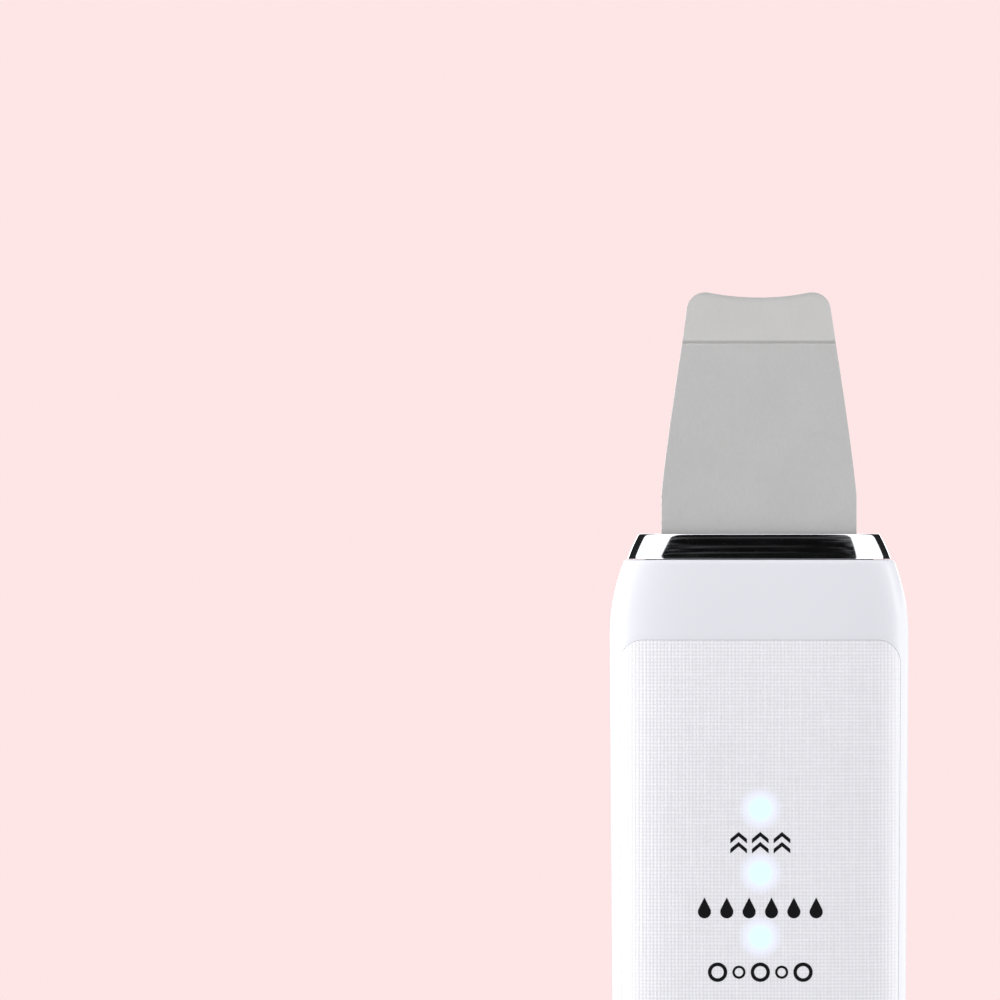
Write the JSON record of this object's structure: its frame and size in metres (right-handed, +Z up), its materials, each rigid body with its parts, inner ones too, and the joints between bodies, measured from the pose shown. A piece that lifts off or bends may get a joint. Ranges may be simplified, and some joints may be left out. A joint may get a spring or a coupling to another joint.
{
  "type": "ultrasonic skin scrubber",
  "caption": "Slim upright white handle with a woven-textured front panel, lights and buttons, a chrome collar and a flat steel blade with a bent, dished tip.",
  "frame": {"origin": "middle of the flat foot of the handle, on the surface it stands on", "axes": "+Z up the handle to the blade, -Y the front with the lights and buttons, +Y the palm side"},
  "size_m": [0.0448, 0.0182, 0.1733],
  "materials": {
    "white_shell": "smooth satin white",
    "woven_panel": "translucent white with a fine woven texture",
    "collar_chrome": "mirror",
    "blade_steel": "fine brushed",
    "cap_metal": "satin, dished",
    "seal_rubber": "matte silicone",
    "clamp_aluminium": "as cast",
    "piezo_ceramic": "silvered ceramic on brass",
    "grey_foam": "closed-cell foam",
    "board_laminate": "green solder mask",
    "chip_black": "moulded",
    "ferrite": "sintered",
    "coil_tape": "wound wire under tape",
    "capacitor_sleeve": "shrink sleeve",
    "chip_ceramic": "fired",
    "led_package": "pale blue light",
    "light_guide": "clear moulded",
    "plunger_grey": "moulded",
    "plated_steel": "nickel plated",
    "cell_film": "aluminium laminate film",
    "header_nylon": "moulded",
    "red_insulation": "soft insulation",
    "black_insulation": "soft insulation",
    "spring_bronze": "plain"
  },
  "bodies": {
    "handle": {"front_shell": "white_shell", "rear_shell": "white_shell", "screw_caps": "white_shell", "front_panel": "woven_panel", "head_collar": "collar_chrome", "power_bezel": "collar_chrome", "mode_bezel": "collar_chrome", "blade": "blade_steel", "rear_electrode": "blade_steel", "blade_seal": "seal_rubber", "front_clamp": "clamp_aluminium", "rear_clamp": "clamp_aluminium", "piezo_disc": "piezo_ceramic", "piezo_damper": "grey_foam", "battery_pad": "grey_foam", "main_board": "board_laminate", "microcontroller": "chip_black", "charge_controller": "chip_black", "drive_transistor": "chip_black", "light_shroud": "chip_black", "power_switch_housing": "chip_black", "mode_switch_housing": "chip_black", "usb_socket_tongue": "chip_black", "transformer_core": "ferrite", "choke_coil": "ferrite", "transformer_coil": "coil_tape", "reservoir_capacitor": "capacitor_sleeve", "chip_parts": "chip_ceramic", "indicator_led_1": "led_package", "indicator_led_2": "led_package", "indicator_led_3": "led_package", "light_pipe_1": "light_guide", "light_pipe_2": "light_guide", "light_pipe_3": "light_guide", "usb_socket_shell": "plated_steel", "shell_screws": "plated_steel", "clamp_screws": "plated_steel", "board_screws": "plated_steel", "battery_cell": "cell_film", "battery_header": "header_nylon", "battery_lead_red": "red_insulation", "transducer_lead_red": "red_insulation", "battery_lead_black": "black_insulation", "transducer_lead_black": "black_insulation", "electrode_spring": "spring_bronze"},
    "power_button": {"power_button_cap": "cap_metal", "power_switch_plunger": "plunger_grey"},
    "mode_button": {"mode_button_cap": "cap_metal", "mode_switch_plunger": "plunger_grey"}
  },
  "joints": [
    {"name": "power_button_press", "type": "slide", "parent": "handle", "child": "power_button", "axis": [0, 1, 0], "range_m": [0, 0.0005], "stiffness_N_per_m": 1500},
    {"name": "mode_button_press", "type": "slide", "parent": "handle", "child": "mode_button", "axis": [0, 1, 0], "range_m": [0, 0.0005], "stiffness_N_per_m": 1500}
  ]
}
